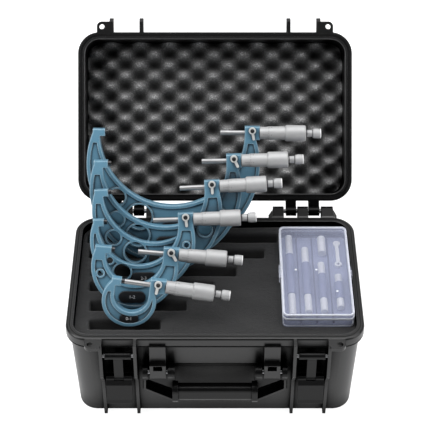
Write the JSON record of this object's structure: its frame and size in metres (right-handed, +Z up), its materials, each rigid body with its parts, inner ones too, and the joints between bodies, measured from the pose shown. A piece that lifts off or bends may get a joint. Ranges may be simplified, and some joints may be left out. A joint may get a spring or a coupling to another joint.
{
  "type": "micrometer case",
  "caption": "Rugged hinged equipment case, open, with foam inlays, outside micrometers standing in slanting slots and a translucent box of setting standards.",
  "frame": {"origin": "centre of the base's underside, on the table", "axes": "+X to the right seen from the front, +Y towards the hinges, +Z up"},
  "size_m": [0.32, 0.399, 0.2914],
  "materials": {
    "case_plastic": "fine moulded texture",
    "latch_plastic": "satin",
    "seal_rubber": "matt",
    "foam": "open cell foam",
    "pin_steel": "drawn",
    "frame_enamel": "satin enamel",
    "satin_chrome": "satin chrome",
    "bright_steel": "ground",
    "clear_plastic": "frosted translucent",
    "grip_plastic": "satin"
  },
  "bodies": {
    "case": {"base_shell": "case_plastic", "base_foam": "foam", "hinge_pins": "pin_steel", "latch_pins": "pin_steel", "handle_pins": "pin_steel", "box_tray": "clear_plastic", "standard_rods": "bright_steel", "standard_grips": "grip_plastic", "spanner": "bright_steel"},
    "lid": {"lid_shell": "case_plastic", "lid_gasket": "seal_rubber", "lid_foam": "foam"},
    "handle": {"handle": "case_plastic"},
    "box_lid": {"box_lid": "clear_plastic"},
    "latch_link_left": {"latch_link_left": "latch_plastic"},
    "latch_lever_left": {"latch_lever_left": "latch_plastic"},
    "latch_link_right": {"latch_link_right": "latch_plastic"},
    "latch_lever_right": {"latch_lever_right": "latch_plastic"},
    "mic1": {"mic1_frame": "frame_enamel", "mic1_anvil": "bright_steel", "mic1_sleeve": "satin_chrome"},
    "mic1_spindle": {"mic1_spindle": "bright_steel"},
    "mic1_thimble": {"mic1_thimble": "satin_chrome"},
    "mic1_ratchet": {"mic1_ratchet": "satin_chrome"},
    "mic1_lever": {"mic1_lock_lever": "bright_steel"},
    "mic2": {"mic2_frame": "frame_enamel", "mic2_anvil": "bright_steel", "mic2_sleeve": "satin_chrome"},
    "mic2_spindle": {"mic2_spindle": "bright_steel"},
    "mic2_thimble": {"mic2_thimble": "satin_chrome"},
    "mic2_ratchet": {"mic2_ratchet": "satin_chrome"},
    "mic2_lever": {"mic2_lock_lever": "bright_steel"},
    "mic3": {"mic3_frame": "frame_enamel", "mic3_anvil": "bright_steel", "mic3_sleeve": "satin_chrome"},
    "mic3_spindle": {"mic3_spindle": "bright_steel"},
    "mic3_thimble": {"mic3_thimble": "satin_chrome"},
    "mic3_ratchet": {"mic3_ratchet": "satin_chrome"},
    "mic3_lever": {"mic3_lock_lever": "bright_steel"},
    "mic4": {"mic4_frame": "frame_enamel", "mic4_anvil": "bright_steel", "mic4_sleeve": "satin_chrome"},
    "mic4_spindle": {"mic4_spindle": "bright_steel"},
    "mic4_thimble": {"mic4_thimble": "satin_chrome"},
    "mic4_ratchet": {"mic4_ratchet": "satin_chrome"},
    "mic4_lever": {"mic4_lock_lever": "bright_steel"},
    "mic5": {"mic5_frame": "frame_enamel", "mic5_anvil": "bright_steel", "mic5_sleeve": "satin_chrome"},
    "mic5_spindle": {"mic5_spindle": "bright_steel"},
    "mic5_thimble": {"mic5_thimble": "satin_chrome"},
    "mic5_ratchet": {"mic5_ratchet": "satin_chrome"},
    "mic5_lever": {"mic5_lock_lever": "bright_steel"},
    "mic6": {"mic6_frame": "frame_enamel", "mic6_anvil": "bright_steel", "mic6_sleeve": "satin_chrome"},
    "mic6_spindle": {"mic6_spindle": "bright_steel"},
    "mic6_thimble": {"mic6_thimble": "satin_chrome"},
    "mic6_ratchet": {"mic6_ratchet": "satin_chrome"},
    "mic6_lever": {"mic6_lock_lever": "bright_steel"}
  },
  "joints": [
    {"name": "lid_hinge", "type": "hinge", "parent": "case", "child": "lid", "pos_m": [0, 0.1105, 0.1233], "axis": [-1, 0, 0], "range_deg": [-130.4, 0]},
    {"name": "handle_fold", "type": "hinge", "parent": "case", "child": "handle", "pos_m": [0, -0.103, 0.08], "axis": [-1, 0, 0], "range_deg": [0, 105]},
    {"name": "box_lid_hinge", "type": "hinge", "parent": "case", "child": "box_lid", "pos_m": [0.1507, 0, 0.12785], "axis": [0, 1, 0], "range_deg": [0, 95]},
    {"name": "latch_link_left_hinge", "type": "hinge", "parent": "case", "child": "latch_link_left", "pos_m": [-0.1033, -0.104, 0.1057], "axis": [1, 0, 0], "range_deg": [-180, 0]},
    {"name": "latch_lever_left_hinge", "type": "hinge", "parent": "latch_link_left", "child": "latch_lever_left", "pos_m": [-0.1033, -0.104, 0.072], "axis": [1, 0, 0], "range_deg": [0, 180]},
    {"name": "latch_link_right_hinge", "type": "hinge", "parent": "case", "child": "latch_link_right", "pos_m": [0.1033, -0.104, 0.1057], "axis": [1, 0, 0], "range_deg": [-180, 0]},
    {"name": "latch_lever_right_hinge", "type": "hinge", "parent": "latch_link_right", "child": "latch_lever_right", "pos_m": [0.1033, -0.104, 0.072], "axis": [1, 0, 0], "range_deg": [0, 180]},
    {"name": "mic1_slide", "type": "slide", "parent": "case", "child": "mic1", "axis": [0, 0.4067, 0.9135], "range_m": [-0.022, 0]},
    {"name": "mic1_travel", "type": "slide", "parent": "mic1", "child": "mic1_spindle", "axis": [0.9895, -0.0587, -0.1319], "range_m": [0, 0.0254]},
    {"name": "mic1_turn", "type": "hinge", "parent": "mic1_spindle", "child": "mic1_thimble", "pos_m": [-0.00101, -0.0525, 0.14777], "axis": [0.9895, -0.0587, -0.1319], "range_deg": [0, 14400.1]},
    {"name": "mic1_ratchet_turn", "type": "hinge", "parent": "mic1_thimble", "child": "mic1_ratchet", "pos_m": [-0.00101, -0.0525, 0.14777], "axis": [0.9895, -0.0587, -0.1319], "continuous": true},
    {"name": "mic1_lock", "type": "hinge", "parent": "mic1", "child": "mic1_lever", "pos_m": [-0.06039, -0.04758, 0.15882], "axis": [0, -0.9135, 0.4067], "range_deg": [-20, 50]},
    {"name": "mic2_slide", "type": "slide", "parent": "case", "child": "mic2", "axis": [0, 0.4848, 0.8746], "range_m": [-0.039, 0]},
    {"name": "mic2_travel", "type": "slide", "parent": "mic2", "child": "mic2_spindle", "axis": [0.9962, -0.0423, -0.0762], "range_m": [0, 0.0254]},
    {"name": "mic2_turn", "type": "hinge", "parent": "mic2_spindle", "child": "mic2_thimble", "pos_m": [0.01274, -0.01242, 0.16098], "axis": [0.9962, -0.0423, -0.0762], "range_deg": [0, 14400.1]},
    {"name": "mic2_ratchet_turn", "type": "hinge", "parent": "mic2_thimble", "child": "mic2_ratchet", "pos_m": [0.01274, -0.01242, 0.16098], "axis": [0.9962, -0.0423, -0.0762], "continuous": true},
    {"name": "mic2_lock", "type": "hinge", "parent": "mic2", "child": "mic2_lever", "pos_m": [-0.04724, -0.00822, 0.16855], "axis": [0, -0.8746, 0.4848], "range_deg": [-60, 10]},
    {"name": "mic3_slide", "type": "slide", "parent": "case", "child": "mic3", "axis": [0, 0.515, 0.8572], "range_m": [-0.0625, 0]},
    {"name": "mic3_travel", "type": "slide", "parent": "mic3", "child": "mic3_spindle", "axis": [0.9995, 0.0162, 0.0269], "range_m": [0, 0.0254]},
    {"name": "mic3_turn", "type": "hinge", "parent": "mic3_spindle", "child": "mic3_thimble", "pos_m": [0.02833, 0.03249, 0.18139], "axis": [0.9995, 0.0162, 0.0269], "range_deg": [0, 14400.1]},
    {"name": "mic3_ratchet_turn", "type": "hinge", "parent": "mic3_thimble", "child": "mic3_ratchet", "pos_m": [0.02833, 0.03249, 0.18139], "axis": [0.9995, 0.0162, 0.0269], "continuous": true},
    {"name": "mic3_lock", "type": "hinge", "parent": "mic3", "child": "mic3_lever", "pos_m": [-0.03225, 0.03326, 0.18268], "axis": [0, -0.8572, 0.515], "range_deg": [-30, 40]},
    {"name": "mic4_slide", "type": "slide", "parent": "case", "child": "mic4", "axis": [0, 0.515, 0.8572], "range_m": [-0.0695, 0]},
    {"name": "mic4_travel", "type": "slide", "parent": "mic4", "child": "mic4_spindle", "axis": [0.9986, 0.027, 0.0449], "range_m": [0, 0.0254]},
    {"name": "mic4_turn", "type": "hinge", "parent": "mic4_spindle", "child": "mic4_thimble", "pos_m": [0.05716, 0.06803, 0.20026], "axis": [0.9986, 0.027, 0.0449], "range_deg": [0, 14400.1]},
    {"name": "mic4_ratchet_turn", "type": "hinge", "parent": "mic4_thimble", "child": "mic4_ratchet", "pos_m": [0.05716, 0.06803, 0.20026], "axis": [0.9986, 0.027, 0.0449], "continuous": true},
    {"name": "mic4_lock", "type": "hinge", "parent": "mic4", "child": "mic4_lever", "pos_m": [-0.00343, 0.06814, 0.20046], "axis": [0, -0.8572, 0.515], "range_deg": [-25, 45]},
    {"name": "mic5_slide", "type": "slide", "parent": "case", "child": "mic5", "axis": [0, 0.454, 0.891], "range_m": [-0.0755, 0]},
    {"name": "mic5_travel", "type": "slide", "parent": "mic5", "child": "mic5_spindle", "axis": [0.9998, 0.0095, 0.0187], "range_m": [0, 0.0254]},
    {"name": "mic5_turn", "type": "hinge", "parent": "mic5_spindle", "child": "mic5_thimble", "pos_m": [0.08166, 0.09532, 0.21282], "axis": [0.9998, 0.0095, 0.0187], "range_deg": [0, 14400.1]},
    {"name": "mic5_ratchet_turn", "type": "hinge", "parent": "mic5_thimble", "child": "mic5_ratchet", "pos_m": [0.08166, 0.09532, 0.21282], "axis": [0.9998, 0.0095, 0.0187], "continuous": true},
    {"name": "mic5_lock", "type": "hinge", "parent": "mic5", "child": "mic5_lever", "pos_m": [0.0211, 0.09629, 0.21472], "axis": [0, -0.891, 0.454], "range_deg": [-50, 20]},
    {"name": "mic6_slide", "type": "slide", "parent": "case", "child": "mic6", "axis": [0, 0.4695, 0.8829], "range_m": [-0.1065, 0]},
    {"name": "mic6_travel", "type": "slide", "parent": "mic6", "child": "mic6_spindle", "axis": [1, -0.0041, -0.0077], "range_m": [0, 0.0254]},
    {"name": "mic6_turn", "type": "hinge", "parent": "mic6_spindle", "child": "mic6_thimble", "pos_m": [0.10259, 0.12955, 0.22335], "axis": [1, -0.0041, -0.0077], "range_deg": [0, 14400.1]},
    {"name": "mic6_ratchet_turn", "type": "hinge", "parent": "mic6_thimble", "child": "mic6_ratchet", "pos_m": [0.10259, 0.12955, 0.22335], "axis": [1, -0.0041, -0.0077], "continuous": true},
    {"name": "mic6_lock", "type": "hinge", "parent": "mic6", "child": "mic6_lever", "pos_m": [0.04212, 0.13139, 0.22682], "axis": [0, -0.8829, 0.4695], "range_deg": [-35, 35]}
  ],
  "couplings": [
    {"joint": "latch_lever_left_hinge", "follows": "latch_link_left_hinge", "ratio": -1},
    {"joint": "latch_lever_right_hinge", "follows": "latch_link_right_hinge", "ratio": -1},
    {"joint": "mic1_slide", "follows": "lid_hinge", "m_per_rad": 0.0096665},
    {"joint": "mic1_turn", "follows": "mic1_travel", "rad_per_m": 9894.8},
    {"joint": "mic2_slide", "follows": "lid_hinge", "m_per_rad": 0.017136},
    {"joint": "mic2_turn", "follows": "mic2_travel", "rad_per_m": 9894.8},
    {"joint": "mic3_slide", "follows": "lid_hinge", "m_per_rad": 0.027462},
    {"joint": "mic3_turn", "follows": "mic3_travel", "rad_per_m": 9894.8},
    {"joint": "mic4_slide", "follows": "lid_hinge", "m_per_rad": 0.030537},
    {"joint": "mic4_turn", "follows": "mic4_travel", "rad_per_m": 9894.8},
    {"joint": "mic5_slide", "follows": "lid_hinge", "m_per_rad": 0.033174},
    {"joint": "mic5_turn", "follows": "mic5_travel", "rad_per_m": 9894.8},
    {"joint": "mic6_slide", "follows": "lid_hinge", "m_per_rad": 0.046794},
    {"joint": "mic6_turn", "follows": "mic6_travel", "rad_per_m": 9894.8}
  ]
}
